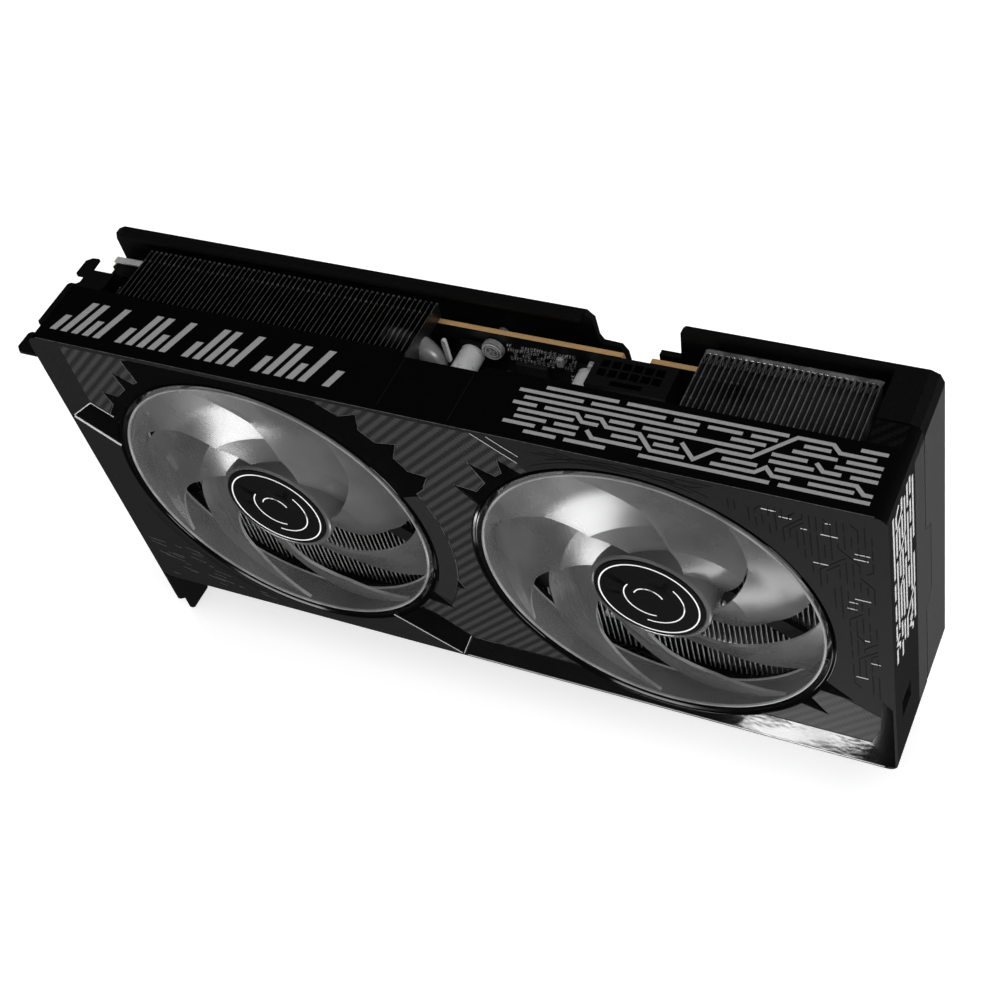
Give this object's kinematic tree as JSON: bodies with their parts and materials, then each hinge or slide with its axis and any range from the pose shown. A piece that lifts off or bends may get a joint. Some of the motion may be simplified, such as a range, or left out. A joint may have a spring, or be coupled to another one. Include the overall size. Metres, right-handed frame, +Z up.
{
  "type": "graphics card",
  "caption": "Thick graphics card with open-blade cooling fans in a black shroud, fin stacks, slot bracket, power socket and backplate.",
  "frame": {"origin": "centre of the bounding box in plan, at the tip of the bracket feet", "axes": "+X runs from the slot bracket to the far end, the fans face -Y, +Z is up across the card from its edge contacts to its power socket"},
  "size_m": [0.252, 0.046, 0.1321],
  "materials": {
    "satin_shell": "dark grey satin moulding",
    "gloss_trim": "black high gloss",
    "coated_sheet": "black powder coat, satin",
    "fan_resin": "smoky clear resin",
    "label_film": "dark grey printed film with a pale ring",
    "fin_sheet": "plain thin sheet",
    "nickel_pipe": "nickel plated tube",
    "copper_base": "machined and plated",
    "board": "black solder mask over laminate",
    "chip_resin": "moulded black resin",
    "ferrite": "pressed grey ferrite",
    "can_metal": "bright drawn can",
    "plug_resin": "black nylon",
    "shell_metal": "plated stamped steel",
    "screw_steel": "dark zinc",
    "coil": "enamelled winding",
    "magnet": "bonded magnet ring",
    "silicon": "polished die"
  },
  "bodies": {
    "card": {"display_socket_1": "shell_metal", "display_socket_2": "shell_metal", "display_socket_3": "shell_metal", "hdmi_style_socket": "shell_metal", "io_bracket": "coated_sheet", "fan_shroud": "satin_shell", "fan_bezel_left": "gloss_trim", "fan_bezel_right": "gloss_trim", "left_edge_trim": "gloss_trim", "corner_trim": "gloss_trim", "lower_edge_trim": "gloss_trim", "stator_coil_left": "coil", "bearing_sleeve_left": "can_metal", "fan_frame_left": "plug_resin", "fin_stack_left": "fin_sheet", "fin_stack_middle": "fin_sheet", "stator_coil_right": "coil", "bearing_sleeve_right": "can_metal", "fan_frame_right": "plug_resin", "fin_stack_right": "fin_sheet", "heat_pipe_1": "nickel_pipe", "spring_screw_1": "screw_steel", "heat_pipe_2": "nickel_pipe", "spring_screw_2": "screw_steel", "heat_pipe_3": "nickel_pipe", "spring_screw_3": "screw_steel", "heat_pipe_4": "nickel_pipe", "spring_screw_4": "screw_steel", "board_screw_1": "screw_steel", "board_screw_2": "screw_steel", "board_screw_3": "screw_steel", "memory_chip_1": "chip_resin", "memory_chip_2": "chip_resin", "memory_chip_3": "chip_resin", "memory_chip_4": "chip_resin", "memory_chip_5": "chip_resin", "memory_chip_6": "chip_resin", "power_inductor_1": "ferrite", "power_inductor_2": "ferrite", "power_inductor_3": "ferrite", "power_inductor_4": "ferrite", "power_inductor_5": "ferrite", "cold_plate": "copper_base", "circuit_board": "board", "gpu_package": "chip_resin", "gpu_die": "silicon", "can_capacitor_1": "can_metal", "can_capacitor_2": "can_metal", "driver_chip": "chip_resin", "power_socket": "plug_resin", "backplate": "coated_sheet", "retention_bracket": "shell_metal"},
    "fan_left": {"impeller_left": "fan_resin", "hub_cap_left": "label_film", "rotor_magnet_left": "magnet", "fan_shaft_left": "screw_steel"},
    "fan_right": {"impeller_right": "fan_resin", "hub_cap_right": "label_film", "rotor_magnet_right": "magnet", "fan_shaft_right": "screw_steel"}
  },
  "joints": [
    {"name": "fan_left_spin", "type": "hinge", "parent": "card", "child": "fan_left", "pos_m": [-0.0521, -0.023, 0.0779], "axis": [0, -1, 0], "continuous": true},
    {"name": "fan_right_spin", "type": "hinge", "parent": "card", "child": "fan_right", "pos_m": [0.0615, -0.023, 0.0779], "axis": [0, -1, 0], "continuous": true}
  ]
}
